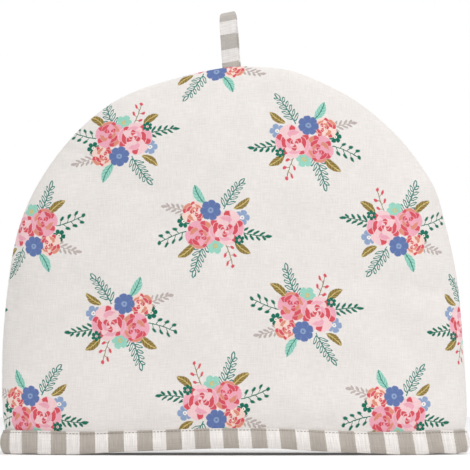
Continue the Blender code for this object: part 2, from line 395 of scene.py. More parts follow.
# A stem with leaves on both sides by turns, filled or in outline
def drawSprig(add, given):
    shoots = bentStem(add, given, given["Leaves"], 0.85, 0.44, (0.48, 0.40))
    along, beside, away, fromRib, foot, whole, stem = shoots
    fromRib = add("Math", fromRib, operation="ABSOLUTE")
    taper = add("MapRange", foot, 0.0, 1.0, 1.0, 0.5)
    length = add("Math", taper, given["Length"], operation="MULTIPLY")
    share = add("Math", away, length, operation="DIVIDE")
    tip = add("MapRange", along, 0.84, 1.10, 0.0, 1.0)
    insides = []
    for place, gap in ((share, fromRib), (tip, away)):
        rest = add("Math", 1.0, place, operation="SUBTRACT")
        body = add("Math", place, rest, operation="MULTIPLY")
        body = add("Math", body, 0.0, operation="MAXIMUM")
        body = add("Math", body, 0.7, operation="POWER")
        half = add("Math", body, given["Width"], operation="MULTIPLY")
        insides.append(add("Math", half, gap, operation="SUBTRACT"))
    inside = add("Math", insides[0], whole, operation="ADD")
    inside = add("Math", inside, 1.0, operation="SUBTRACT")
    inside = add("Math", inside, insides[1], operation="MAXIMUM")
    filled = add("MapRange", inside, 0.0, 0.03, 0.0, 1.0)
    hollow = add("Math", inside, ink["line"] * 0.9, ink["line"] * 0.8, operation="COMPARE")
    leaf = add("Mix", given["Outline"], filled, hollow, data_type="FLOAT")
    mask = add("Math", leaf, stem, operation="MAXIMUM")
    return add("Mix", mask, given["Under"], given["Leaf"], data_type="RGBA")


# A single broad leaf with its ribs
def drawLeaf(add, given):
    parts = add("SeparateXYZ", given["Point"])
    along = parts.outputs[0]
    rest = add("Math", 1.0, along, operation="SUBTRACT")
    body = add("Math", along, rest, operation="MULTIPLY")
    body = add("Math", body, 0.0, operation="MAXIMUM")
    bend = add("Math", body, given["Bend"], operation="MULTIPLY")
    beside = add("Math", parts.outputs[1], bend, operation="SUBTRACT")
    away = add("Math", beside, operation="ABSOLUTE")
    half = add("Math", body, 0.75, operation="POWER")
    half = add("Math", half, given["Width"], operation="MULTIPLY")
    inside = add("Math", half, away, operation="SUBTRACT")
    mask = add("MapRange", inside, 0.0, 0.03, 0.0, 1.0)
    rib = add("Math", away, 0.0, ink["line"], operation="COMPARE")
    veins = add("Math", away, -1.1, along, operation="MULTIPLY_ADD")
    veins = add("Math", veins, 6.0, operation="MULTIPLY")
    veins = add("Math", veins, operation="FRACT")
    veins = add("MapRange", veins, 0.78, 0.86, 0.0, 0.6)
    ribs = add("Math", rib, veins, operation="MAXIMUM")
    tint = add("Mix", ribs, given["Leaf"], given["Rib"], data_type="RGBA")
    return add("Mix", mask, given["Under"], tint, data_type="RGBA")


# A thin stem with round berries on short stalks
def drawBerries(add, given):
    shoots = bentStem(add, given, given["Berries"], 0.6, 0.48, (0.46, 0.36))
    along, beside, away, fromStalk, foot, whole, stem = shoots
    fromTop = add("Math", away, given["Spread"], operation="SUBTRACT")
    fromEnd = add("Math", along, 0.96, operation="SUBTRACT")
    berries = []
    for gap in ((fromStalk, fromTop), (fromEnd, beside)):
        gap = add("CombineXYZ", *gap)
        gap = add("VectorMath", gap, operation="LENGTH")
        inside = add("Math", given["Size"], gap, operation="SUBTRACT")
        berries.append(add("MapRange", inside, -0.015, 0.015, 0.0, 1.0))
    berry = add("Math", berries[0], whole, operation="MULTIPLY")
    berry = add("Math", berry, berries[1], operation="MAXIMUM")
    stalk = add("Math", fromStalk, 0.0, ink["line"] * 0.6, operation="COMPARE")
    short = add("Math", away, given["Spread"], operation="LESS_THAN")
    stalk = add("Math", stalk, short, operation="MULTIPLY")
    stalk = add("Math", stalk, whole, operation="MULTIPLY")
    stem = add("Math", stem, stalk, operation="MAXIMUM")
    colour = add("Mix", stem, given["Under"], given["Stem"], data_type="RGBA")
    return add("Mix", berry, colour, given["Berry"], data_type="RGBA")


# How each motif is drawn, with its inks and its numbers
motifKinds = {
    "rose": (drawRose, ("Deep", "Middle", "Pale"), ()),
    "flower": (drawFlower, ("Petal", "Tip", "Heart"), ("Petals", "Notch")),
    "sprig": (drawSprig, ("Leaf",), ("Leaves", "Length", "Width", "Bend", "Outline")),
    "leaf": (drawLeaf, ("Leaf", "Rib"), ("Width", "Bend")),
    "berries": (drawBerries, ("Berry", "Stem"), ("Berries", "Size", "Spread", "Bend")),
}


# The print: posies in upright rows, each row half a step down from its neighbours
posyRepeat = {
    "across": 64.7,  # mm from one upright row to the next
    "up": 63.3,  # half the step within a row
    "shiftAcross": 15.0,
    "shiftUp": -27.4,
    "wobble": 0.8,  # how far a printed line strays, in mm
    "wobbleSize": 2.2,
}
inkColours = {
    "ground": "#EFEAE6",
    "coral": "#DC5562",
    "salmon": "#E3937C",
    "pink": "#F3AFC0",
    "palePink": "#F9D3D6",
    "peach": "#FBDDD2",
    "greyBlue": "#93A9CC",
    "blue": "#647AB0",
    "mint": "#9CD8C6",
    "green": "#12705B",
    "olive": "#8B7439",
    "straw": "#D9C37F",
    "taupe": "#BFB2AE",
    "teal": "#3F857C",
    "cream": "#FFF6EC",
}

# Each motif: x and y of its middle or foot in mm, size in mm, turn in degrees, inks, numbers
posyMotifs = (
    ("sprig", 6, 11, 25, 66, ("teal",), (6, 0.24, 0.17, 0.10, 1)),
    ("sprig", -7, -11, 24, 244, ("teal",), (6, 0.24, 0.17, -0.12, 1)),
    ("sprig", -17, 5, 22, 164, ("green",), (5, 0.24, 0.19, 0.14, 0)),
    ("sprig", 17, -9, 19, -24, ("taupe",), (5, 0.25, 0.20, 0.12, 0)),
    ("berries", 19, 4, 21, 12, ("green", "green"), (4, 0.066, 0.19, 0.16)),
    ("berries", -8, 13, 18, 116, ("coral", "olive"), (3, 0.070, 0.18, -0.14)),
    ("leaf", 13, 12, 16, 40, ("olive", "straw"), (0.55, 0.35)),
    ("leaf", -15, 12, 14, 142, ("olive", "straw"), (0.60, -0.3)),
    ("leaf", 6, -15, 16, -62, ("mint", "teal"), (0.60, 0.3)),
    ("leaf", -14, -11, 14, 216, ("olive", "straw"), (0.55, -0.3)),
    ("flower", 21, -3, 4.6, 20, ("green", "green", "cream"), (6, 0.35)),
    ("flower", -1, 15, 6.0, 10, ("mint", "mint", "straw"), (5, 0.30)),
    ("flower", -20, -5, 5.4, 0, ("greyBlue", "greyBlue", "cream"), (5, 0.30)),
    ("rose", 14, -9, 8.4, 150, ("coral", "salmon", "peach"), ()),
    ("rose", 9.5, 6.5, 10.4, 60, ("coral", "salmon", "pink"), ()),
    ("rose", -9, 2, 12.6, 0, ("coral", "pink", "palePink"), ()),
    ("flower", 2, -10.5, 7.4, 30, ("blue", "blue", "greyBlue"), (7, 0.16)),
    ("flower", -18, 11, 3.6, 0, ("green", "green", "palePink"), (6, 0.35)),
)


def drawPosies(tree, flatPoint):
    repeat = posyRepeat
    groups = {name: newMotif(name, *kind) for name, kind in motifKinds.items()}
    blur = addNode(tree, "TexNoise", flatPoint, 1 / repeat["wobbleSize"], 1.0, noise_dimensions="2D")
    blur = addNode(tree, "VectorMath", blur.outputs["Color"], (0.5, 0.5, 0.5), operation="SUBTRACT")
    blur = addNode(tree, "VectorMath", blur, repeat["wobble"], operation="SCALE")
    point = addNode(tree, "VectorMath", flatPoint, blur, operation="ADD")
    shift = (repeat["shiftAcross"], repeat["shiftUp"], 0)
    point = addNode(tree, "VectorMath", point, shift, operation="ADD")
    steps = (1 / repeat["across"], 1 / repeat["up"], 0)
    point = addNode(tree, "VectorMath", point, steps, operation="MULTIPLY")
    parts = addNode(tree, "SeparateXYZ", point)
    half = addNode(tree, "Math", parts.outputs[0], 0.5, operation="MULTIPLY")
    places, flips = [], []
    for slant in (0.5, -0.5):  # the two ways in which the repeat's slanting rows run
        place = addNode(tree, "Math", parts.outputs[1], slant, half, operation="MULTIPLY_ADD")
        cell = addNode(tree, "Math", place, operation="ROUND")
        places.append(addNode(tree, "Math", place, cell, operation="SUBTRACT"))
        flip = addNode(tree, "Math", cell, 2.0, operation="FLOORED_MODULO")
        flips.append(addNode(tree, "Math", flip, -2.0, 1.0, operation="MULTIPLY_ADD"))
    localX = addNode(tree, "Math", *places, operation="ADD")
    localY = addNode(tree, "Math", *places, operation="SUBTRACT")
    posyPoint = addNode(tree, "CombineXYZ", localX, localY)
    mirrored = addNode(tree, "CombineXYZ", *flips)
    posyPoint = addNode(tree, "VectorMath", posyPoint, mirrored, operation="MULTIPLY")
    sizes = (repeat["across"], repeat["up"], 0)
    posyPoint = addNode(tree, "VectorMath", posyPoint, sizes, operation="MULTIPLY")
    colour = toLinear(inkColours["ground"])
    for kind, x, y, size, turn, inks, numbers in posyMotifs:
        rotation = (0, 0, math.radians(turn))
        own = addNode(tree, "Mapping", posyPoint, (x, y, 0), rotation, (size, size, 1), vector_type="TEXTURE")
        colours = [toLinear(inkColours[name]) for name in inks]
        colour = addNode(tree, "Group", own, colour, *colours, *numbers, node_tree=groups[kind])
    return colour


cottonThread = {
    "pitch": 0.62,  # mm between threads, a little coarser than real so that it shows
    "slubWidth": 0.7,  # mm
    "slubLength": 9.0,
    "mottle": 26.0,
    "uneven": 1.6,  # how much the slubs stand out from the weave
    "relief": (0.35, 0.00012),
}


# Starts a matt cotton and gives the place on its flat cloth, in mm
def newCotton(name, roughness):
    surface = {"Specular IOR Level": 0.25, "Sheen Weight": 0.12, "Sheen Roughness": 0.5}
    material, tree = newMaterial(name, {"Roughness": roughness, **surface})
    cloth = addNode(tree, "UVMap", uv_map="cloth")
    return material, tree, addNode(tree, "VectorMath", cloth, 1000.0, operation="SCALE")


# Noise drawn out along the cloth's threads. The size is in mm, across and along.
def threadNoise(tree, flatPoint, start, size, detail, roughness):
    threads = addNode(tree, "Mapping", flatPoint, start, None, (1 / size[0], 1 / size[1], 1))
    return addNode(tree, "TexNoise", threads, 1.0, detail, roughness, noise_dimensions="2D")


# Gives a cotton its colour and the relief of its crossing threads, which are uneven
def finishCotton(tree, colour, flatPoint, threads, values):
    parts = addNode(tree, "SeparateXYZ", flatPoint)
    crossing = []
    for way in parts.outputs[:2]:
        wave = addNode(tree, "Math", way, math.pi / values["pitch"], operation="MULTIPLY")
        crossing.append(addNode(tree, "Math", wave, operation="SINE"))
    weave = addNode(tree, "Math", *crossing, operation="MULTIPLY")
    height = addNode(tree, "Math", threads, values["uneven"], weave, operation="MULTIPLY_ADD")
    finishMaterial(tree, colour.outputs[0], height.outputs[0], values["relief"])


# Printed plain-weave cotton: matt, slightly slubbed, with ink that sinks into the cloth
def makePrintedCotton():
    material, tree, flatPoint = newCotton("printedPlainWeaveCotton", 0.92)
    printed = drawPosies(tree, flatPoint)
    outside = addNode(tree, "Attribute", attribute_name="printed")
    plain = toLinear(inkColours["ground"])
    printed = addNode(tree, "Mix", outside.outputs["Fac"], plain, printed, data_type="RGBA")

    width, length = cottonThread["slubWidth"], cottonThread["slubLength"]
    weft = threadNoise(tree, flatPoint, None, (length, width), 2.0, 0.6)
    warp = threadNoise(tree, flatPoint, (7.3, 2.1, 0), (width, length), 2.0, 0.6)
    slub = addNode(tree, "Math", weft, warp, operation="ADD")
    mottle = addNode(tree, "TexNoise", flatPoint, 1 / cottonThread["mottle"], 2.0, noise_dimensions="2D")
    light = addNode(tree, "MapRange", slub, 0.7, 1.3, 0.94, 1.045)
    patch = addNode(tree, "MapRange", mottle, 0.3, 0.7, 0.98, 1.015)
    light = addNode(tree, "Math", light, patch, operation="MULTIPLY")
    colour = addNode(tree, "VectorMath", printed, light, operation="SCALE")
    finishCotton(tree, colour, flatPoint, slub, cottonThread)
    return material


stripes = {
    "step": 20.3,  # mm from one grey stripe to the next
    "grey": 10.95,
    "middle": -1.9,  # the middle of one grey stripe
    "soft": 0.35,  # over this many mm one colour gives way to the other
    "wander": 0.7,  # how far a stripe's edge strays, in mm
    "yarnWidth": 0.55,
    "yarnLength": 16.0,
    "pitch": 0.62,
    "uneven": 2.0,
    "relief": (0.45, 0.00015),
}


# Yarn-dyed striped cotton, plain weave: matt, with uneven yarns that run along the stripes
def makeStripedCotton():
    material, tree, flatPoint = newCotton("yarnDyedStripedCotton", 0.9)
    along = addNode(tree, "SeparateXYZ", flatPoint).outputs[0]
    wander = addNode(tree, "TexNoise", flatPoint, 0.9, 2.0, noise_dimensions="2D")
    reach = stripes["wander"]
    wander = addNode(tree, "Math", wander, reach, -reach / 2, operation="MULTIPLY_ADD")
    place = addNode(tree, "Math", along, wander, operation="ADD")
    place = addNode(tree, "Math", place, -stripes["middle"], operation="ADD")
    place = addNode(tree, "Math", place, 1 / stripes["step"], 0.5, operation="MULTIPLY_ADD")
    place = addNode(tree, "Math", place, operation="FRACT")
    place = addNode(tree, "Math", place, 0.5, operation="SUBTRACT")
    place = addNode(tree, "Math", place, operation="ABSOLUTE")
    half = stripes["grey"] / stripes["step"] / 2
    soft = stripes["soft"] / stripes["step"] / 2
    white = addNode(tree, "MapRange", place, half - soft, half + soft, 0.0, 1.0)
    dyeAndPaintedLight = addNode(tree, "Mix", white, toLinear("#BCB4AB"), toLinear("#F5F0EC"), data_type="RGBA")
    # On the strap, white is mixed into the stripes' colours: painted light, standing in for the strap being
    # lit more brightly than the binding
    paintedLight = addNode(tree, "Attribute", attribute_name="paintedLight")
    dyeAndPaintedLight = addNode(tree, "Mix", paintedLight.outputs["Fac"], dyeAndPaintedLight, (1, 1, 1, 1), data_type="RGBA")

    width, length = stripes["yarnWidth"], stripes["yarnLength"]
    yarn = threadNoise(tree, flatPoint, None, (width, length), 2.0, 0.7)
    cross = threadNoise(tree, flatPoint, None, (length, width), 1.0, 0.5)
    yarns = addNode(tree, "Math", cross, 0.35, yarn, operation="MULTIPLY_ADD")
    light = addNode(tree, "MapRange", yarns, 0.45, 0.9, 0.84, 1.11)
    colour = addNode(tree, "VectorMath", dyeAndPaintedLight, light, operation="SCALE")
    finishCotton(tree, colour, flatPoint, yarns, stripes)
    return material


# Spun cotton sewing thread: its twist shows as fine slanting bands, in relief and in colour; the colour is
# darker in the twist's grooves, which is painted shade
def makeSewingThread():
    material, tree = newMaterial("spunCottonThread", {"Roughness": 0.75})
    place = addNode(tree, "TexCoord").outputs["Object"]
    twist = addNode(tree, "TexWave", place, 900.0, 1.0, bands_direction="DIAGONAL").outputs["Fac"]
    # Painted shade: the thread's colour darkens where the twist's relief is low, in its grooves
    colour = addNode(tree, "Mix", twist, toLinear("#90887E"), toLinear("#B2AAA0"), data_type="RGBA")
    finishMaterial(tree, colour.outputs[2], twist, (0.4, 0.0001))
    return material


printedCotton = makePrintedCotton()
stripedCotton = makeStripedCotton()
sewingThread = makeSewingThread()
print("materials ready")


# A square sheet of faces from -1 to 1, which is then laid into its shape
def newGrid(name, columns, rows):
    bpy.ops.mesh.primitive_grid_add(x_subdivisions=columns, y_subdivisions=rows, size=2)
    piece = bpy.context.object
    piece.name = name
    return piece


def turnFacesOut():
    bpy.ops.object.mode_set(mode="EDIT")
    bpy.ops.mesh.select_all(action="SELECT")
    bpy.ops.mesh.normals_make_consistent(inside=False)
    bpy.ops.object.mode_set(mode="OBJECT")


def writeAttribute(mesh, name, values):
    mesh.attributes.new(name, "FLOAT", "POINT").data.foreach_set("value", values)


# Gives a sheet its thickness and smooths it. Its edges are rounded where foldWidth is given.
def thicken(piece, cloth, offset, levels, foldWidth=0):
    solidify = piece.modifiers.new("cloth", "SOLIDIFY")
    solidify.thickness = cloth
    solidify.offset = offset
    solidify.use_even_offset = True
    if foldWidth:
        bevel = piece.modifiers.new("folded edges", "BEVEL")
        bevel.width = foldWidth
        bevel.segments = 2
        bevel.limit_method = "ANGLE"
        bevel.angle_limit = math.radians(50)
    smooth = piece.modifiers.new("smooth", "SUBSURF")
    smooth.levels = levels
    smooth.render_levels = levels
    for modifier in list(piece.modifiers):
        bpy.ops.object.modifier_apply(modifier=modifier.name)
    piece.data.shade_smooth()


panel = {
    "columns": 190,
    "rows": 150,
    "wallSteps": (0.3, 0.5, 0.2),  # shares of the wadding, from the outer face to the inner
    "seamPull": 0.0008,  # how far the seam draws the cloth in
    "seamPullReach": 0.0016,
    "pucker": 0.00030,
    "puckerPitch": 0.0095,
    "puckerReach": 0.012,
    "swell": 0.0010,  # just above the binding
    "swellHeight": 0.036,
    "swellReach": 0.012,
    "nip": 0.0013,  # where the binding's edge presses in
    "nipReach": 0.0055,
    "wave": 0.0009,
    "waveSize": 0.055,
    "ripple": 0.00025,
    "rippleSize": 0.017,
    "innerShare": 0.6,  # how much of the waves shows inside
    "loopX": -0.0022,
    "loopRoom": 0.0021,  # half the room in the seam for the loop's feet
    "seamFree": (0.0005, 0.010, 0.005),  # from the seam, waves and puckers grow over this
    "footFree": (0.008, 0.014),  # the relief grows between these heights
    "strengthSize": 0.05,  # over this length of the seam the puckers grow and shrink
    "wanderSize": 0.03,
    "backCut": 0.6,  # the back is cut this much further along the cloth
}


def panelRelief(points, height, toSeam, along, creases, seed):
    values = panel
    near, far, puckered = values["seamFree"]
    relief = values["wave"] * softNoise(points, values["waveSize"], seed)
    relief += values["ripple"] * softNoise(points, values["rippleSize"], seed + 5)
    relief += values["swell"] * np.exp(-(((height - values["swellHeight"]) / values["swellReach"]) ** 2))
    relief -= pressedIn(creases, points[:, 0], points[:, 2])
    relief *= smoothStep(near, far, toSeam)
    seamLine = np.column_stack([along, 0 * along, 0 * along])
    wander = softNoise(seamLine, values["wanderSize"], seed + 9)
    strength = 0.6 + 0.8 * softNoise(seamLine, values["strengthSize"], seed + 13)
    wave = np.sin(math.tau * along / values["puckerPitch"] + 3 * wander)
    band = np.exp(-toSeam / values["puckerReach"]) * smoothStep(near, puckered, toSeam)
    relief += values["pucker"] * wave * strength * band
    nip = cosy["bindingHeight"] + 0.0005
    relief -= values["nip"] * np.exp(-(((height - nip) / values["nipReach"]) ** 2))
    return relief * smoothStep(*values["footFree"], height)


def makePanel(name, side, troughs, creases, seed):
    piece = newGrid(name, panel["columns"], panel["rows"])
    bpy.ops.object.mode_set(mode="EDIT")
    bpy.ops.mesh.select_all(action="SELECT")
    for step in panel["wallSteps"]:
        bpy.ops.mesh.extrude_region_move(TRANSFORM_OT_translate={"value": (0, 0, -step)})
    bpy.ops.object.mode_set(mode="OBJECT")
    turnFacesOut()
    mesh = piece.data
    box = readPoints(mesh)
    across = np.clip(box[:, 0], -1, 1) * -side  # the back is the front turned round
    up = np.clip((box[:, 1] + 1) / 2, 0, 1)
    inwards = -box[:, 2]

    x, depth, z, toSeam = panelFace(across, up, inwards * cosy["wadding"], troughs)
    flatX, flatZ = panelFace(across, up, 0, ())[::2]
    along = seamLength(across, up)
    height = z - hemLift(x)
    x, z = uneven(x, z)
    points = np.column_stack([x, side * (depth + cosy["seamGap"] / 2), z])
    writePoints(mesh, points)
    normals = readPoints(mesh, "normal")

    relief = panelRelief(points, height, toSeam, along, creases, seed)
    outer = inwards < 0.01
    inner = inwards > 0.99
    moved = points + normals * (relief * (outer + panel["innerShare"] * inner))[:, None]
    inPlane = normals[:, (0, 2)]
    inPlane /= np.maximum(np.linalg.norm(inPlane, axis=1), 1e-6)[:, None]
    pull = panel["seamPull"] * np.exp(-((depth / panel["seamPullReach"]) ** 2)) * outer
    pull *= smoothStep(0.006, 0.02, height)
    moved[:, 0] -= inPlane[:, 0] * pull
    moved[:, 2] -= inPlane[:, 1] * pull
    beside = smoothStep(0.0105, 0.0065, np.abs(moved[:, 0] - panel["loopX"]))
    nearTop = smoothStep(cosy["seamTop"] - 0.014, cosy["seamTop"] - 0.006, moved[:, 2])
    room = panel["loopRoom"] * beside * nearTop * np.exp(-np.abs(moved[:, 1]) / 0.003)
    moved[:, 1] += side * room
    writePoints(mesh, moved)

    u, v = clothLength(flatX, flatZ)
    writeClothMap(mesh, u * -side, v + panel["backCut"] * (side > 0))
    writeAttribute(mesh, "printed", outer.astype(float))
    mesh.materials.append(printedCotton)
    mesh.shade_smooth()
    mesh.set_sharp_from_angle(angle=math.radians(70))
    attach(piece, "root")
    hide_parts(name.replace("Cloth", "_panel"))
    piece.select_set(False)
    print(name, "done,", len(mesh.polygons), "faces")


makePanel("frontCloth", -1, frontTroughs, frontCreases, 11.3)
makePanel("backCloth", 1, backTroughs, backCreases, 47.9)

binding = {
    "columns": 110,
    "cloth": 0.0009,
    "ripple": 0.00035,
    "rippleSize": 0.009,
    "flatWidth": 0.0385,
    "pinch": 0.0009,  # how far it is drawn in at the side seams
    "pinchReach": 0.0035,
    "meeting": 0.0004,  # how far its ends are pressed against the other binding's
    "meetingReach": 0.04,  # as a share of half the depth
    "eased": 0.147,  # so far from the middle its stripes keep their pitch
    "endPitch": 0.86,  # their pitch further out, as a share of the cloth's length
    "crowding": (0.028, 0.05, 0.0016),  # where they crowd a little: middle, reach, shift
    "lean": 0.17,  # of the stripes towards its right end
    "lowerMiddle": 0.0026,  # its upper edge dips by this in the middle of the hem
    "lowerReach": 0.13,
    "evenTop": 0.7,  # how much of the uneven hem is lost at its upper edge
    "rippleSlant": (0.7, 1.6),  # how its ripples slant and are squashed
}

# The binding's outer face, downwards: how far proud of the panel it is and how high, in mm
bindingFace = (
    (0.35, 17.0),
    (0.60, 16.3),
    (0.50, 15.4),
    (1.10, 14.2),
    (1.95, 12.0),
    (2.55, 9.4),
    (2.65, 6.8),
    (2.35, 4.5),
    (1.70, 2.7),
    (0.85, 1.15),
    (-0.20, 0.2),
    (-1.50, 0.0),
)

# Where the hem's underside isn't even: x of the middle, reach, lift
unevenHem = (
    (0.1600, 0.0032, 0.0014),
    (0.1435, 0.0085, 0.0011),
    (-0.1440, 0.0100, 0.0007),
    (0.0300, 0.0120, 0.0005),
    (-0.0850, 0.0260, 0.0009),
    (0.0950, 0.0200, 0.0006),
)


def bindingHeightAt(x, height):
    lower = binding["lowerMiddle"] * np.maximum(0, 1 - (x / binding["lowerReach"]) ** 2)
    share = np.clip(height / cosy["bindingHeight"], 0, 1)
    lifted = height - lower * share + hemLift(x)
    left = 1 - binding["evenTop"] * share
    for middle, reach, lift in unevenHem:
        lifted = lifted + lift * np.exp(-(((x - middle) / reach) ** 2)) * left
    return np.maximum(lifted, 0)


def bindingPlace(across, proud, height, side):
    turn = across * math.pi / 2
    x = (panelHalfWidth + proud) * np.sin(turn)
    deep = np.maximum(0, np.cos(turn))
    meeting = binding["meeting"] * np.exp(-((deep / binding["meetingReach"]) ** 2))
    y = (panelHalfDepth + proud) * deep + cosy["seamGap"] / 2 - meeting
    return np.column_stack([x, side * y, bindingHeightAt(x, height)])


# How far round the hem a place is from its middle, along the cloth
def hemLength(across):
    turns = np.linspace(0, math.pi / 2, 1001)
    speed = np.hypot(panelHalfWidth * np.cos(turns), panelHalfDepth * np.sin(turns))
    lengths = np.concatenate([[0], np.cumsum((speed[1:] + speed[:-1]) / 2 * np.diff(turns))])
    return np.interp(np.abs(across) * math.pi / 2, turns, lengths) * np.sign(across)


# The strip is eased round the curve, so its stripes keep their pitch as seen from the front
# and only follow the cloth's true length close to the side seams
def stripePlace(across, proud):
    reach = panelHalfWidth + proud
    x = np.abs(reach * np.sin(across * math.pi / 2))
    edge = np.arcsin(binding["eased"] / reach) / (math.pi / 2)
    beyond = np.maximum(0, np.abs(hemLength(across)) - hemLength(edge))
    place = (np.minimum(x, binding["eased"]) + binding["endPitch"] * beyond) * np.sign(across)
    middle, spread, shift = binding["crowding"]
    return place + shift * np.exp(-(((place - middle) / spread) ** 2))


def makeBinding(name, side, seed):
    outerLeg = [(proud / 1000, height / 1000) for proud, height in bindingFace]
    innerLeg = [(-cosy["wadding"] - proud, height) for proud, height in reversed(outerLeg)]
    section = np.array(outerLeg + innerLeg)
    piece = newGrid(name, binding["columns"], len(section) - 1)
    mesh = piece.data
    grid = readPoints(mesh)
    across = np.clip(grid[:, 0], -1, 1)
    place = np.rint((1 - grid[:, 1]) / 2 * (len(section) - 1)).astype(int)
    proud, height = section[place].T
    outer = place < len(outerLeg)
    stripeAlong = stripePlace(across, proud)
    fromEnd = hemLength(np.array([1.0]))[0] - np.abs(hemLength(across))
    pinch = binding["pinch"] * np.exp(-((fromEnd / binding["pinchReach"]) ** 2))
    slant, squash = binding["rippleSlant"]
    sheared = np.column_stack([hemLength(across) + slant * height, height * squash, 0 * height])
    ripple = binding["ripple"] * softNoise(sheared, binding["rippleSize"], seed)
    ripple += binding["ripple"] * softNoise(sheared, binding["rippleSize"] * 3, seed + 4)
    plump = smoothStep(0.0, 0.004, height) * smoothStep(0.017, 0.0145, height)
    swell = ripple * plump - pinch
    proud = proud + np.where(outer, swell, -swell)
    points = bindingPlace(across * -side, proud, height, side)
    writePoints(mesh, points)

    steps = np.hypot(*np.diff(section, axis=0).T)
    path = np.concatenate([[0], np.cumsum(steps)])[place]
    slope = binding["lean"] * smoothStep(-0.7, 0.8, across)
    lean = slope * (cosy["bindingHeight"] / 2 - height)
    writeClothMap(mesh, stripeAlong - lean, path)
    mesh.materials.append(stripedCotton)
    thicken(piece, binding["cloth"], -1, 2)
    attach(piece, "root")
    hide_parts(name.replace("Binding", "_binding"))
    piece.select_set(False)
    print(name, "done,", len(piece.data.polygons), "faces")
    return piece


stitching = {
    "down": 0.0016,  # from the binding's upper edge
    "out": 0.0007,
    "pitch": 0.0025,
    "length": 0.0017,
    "thick": 0.00025,
    "endFree": 0.004,  # left free at each side seam
    "tilt": 0.05,
    "lengths": (0.85, 1.12),
    "raised": 0.35,  # how much of its thickness it stands out further
}


# Topstitching on both legs of a binding: one stitch is modelled and copied along the hem
def makeStitches(name, side, seed):
    bpy.ops.mesh.primitive_uv_sphere_add(segments=8, ring_count=6, radius=1)
    piece = bpy.context.object
    piece.name = name
    single = readPoints(piece.data)
    faces = [tuple(face.vertices) for face in piece.data.polygons]
    length, thick, pitch = stitching["length"], stitching["thick"], stitching["pitch"]
    ends = np.sign(single[:, 2]) * (length / 2 - thick)
    capsule = np.column_stack([ends + single[:, 2] * thick, single[:, 0] * thick, single[:, 1] * thick])
    half = hemLength(np.array([1.0]))[0] - stitching["endFree"]
    count = int(2 * half / pitch)
    places = np.linspace(-1, 1, 2001)
    wanted = (np.arange(count) - (count - 1) / 2) * pitch
    across = np.interp(wanted, hemLength(places), places)
    rng = np.random.default_rng(seed)
    tilts = rng.normal(0, stitching["tilt"], (2, count))
    lengths = rng.uniform(*stitching["lengths"], (2, count))
    height = cosy["bindingHeight"] - stitching["down"]
    allPoints = []
    for leg, proud in enumerate((stitching["out"], -cosy["wadding"] - stitching["out"])):
        outward = 1 if leg == 0 else -1
        for i in range(count):
            spot = np.array([across[i]])
            here = bindingPlace(spot, proud, np.array([height]), side)[0]
            ahead = bindingPlace(spot + 0.002, proud, np.array([height]), side)[0]
            alongHem = (ahead - here) / np.linalg.norm(ahead - here)
            out = np.cross(alongHem, (0, 0, 1)) * -side
            out *= -1 if out[1] * side < 0 else 1
            rise = np.cross(alongHem, out)
            tilted = alongHem * math.cos(tilts[leg, i]) + rise * math.sin(tilts[leg, i])
            basis = np.array([tilted * lengths[leg, i], out * outward, np.cross(tilted, out)])
            allPoints.append(capsule @ basis + here + out * outward * thick * stitching["raised"])
    verts = np.concatenate(allPoints)
    allFaces = [tuple(v + i * len(single) for v in face) for i in range(len(allPoints)) for face in faces]
    mesh = bpy.data.meshes.new(name)
    mesh.from_pydata(verts.tolist(), [], allFaces)
    piece.data = mesh
    turnFacesOut()
    mesh.shade_smooth()
    mesh.materials.append(sewingThread)
    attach(piece, "root")
    piece.select_set(False)
    print(name, "done,", len(allPoints), "stitches")
    return piece


for sideName, side, seed in (("front", -1, 3), ("back", 1, 8)):
    strip = makeBinding(sideName + "Binding", side, seed + 20.5)
    stitches = makeStitches(sideName + "Stitches", side, seed)

loop = {
    "width": 0.0118,
    "cloth": 0.0016,
    "rise": 0.0378,  # above the seam
    "tuck": 0.005,  # into the seam
    "bend": 0.0034,
    "x": -0.0024,
    "lean": math.radians(-4.2),
    "slant": 0.12,  # its right edge runs higher than its left, and so do its stripes
    "open": 0.75,
    "skew": 0.0012,
    "twist": (0.3, 0.7),
    "together": 0.001,  # half the space between its legs at the seam, to mid cloth
    "columns": 8,
    "steps": 70,
    "ripple": 0.00018,
    "rippleSize": 0.007,
    "stripeStart": 0.0073,  # from the fold to the first change of stripe
    "drawnIn": 1.03,  # its stripes are this much closer than the binding's
    "corner": 0.16,  # share of its width lost at the fold's corners
    "cornerReach": 0.0026,
    "paintedLight": 0.15,  # share of white mixed into its colours: painted light, the strap lit more brightly than the binding
    "uneven": 0.0003,  # how far its side edges stray
    "foldWidth": 0.0005,
}


# y and z of the middle of the strap's cloth, from its front foot over the fold to its back foot
def loopLine(share):
    centre = loop["rise"] - loop["cloth"] / 2 - loop["bend"]
    leg = centre + loop["tuck"]
    bend = math.pi * loop["bend"]
    run = share * (2 * leg + bend)
    turn = np.clip((run - leg) / loop["bend"], 0, math.pi)
    onFold = (run > leg) & (run < leg + bend)
    front = run <= leg + bend / 2
    up = np.where(front, run, 2 * leg + bend - run)
    opened = smoothStep(loop["tuck"], leg * loop["open"], up)
    spread = loop["together"] + (loop["bend"] - loop["together"]) * opened
    y = np.where(onFold, -loop["bend"] * np.cos(turn), np.where(front, -spread, spread))
    z = np.where(onFold, centre + loop["bend"] * np.sin(turn), up - loop["tuck"])
    return y, z, run - leg - bend / 2


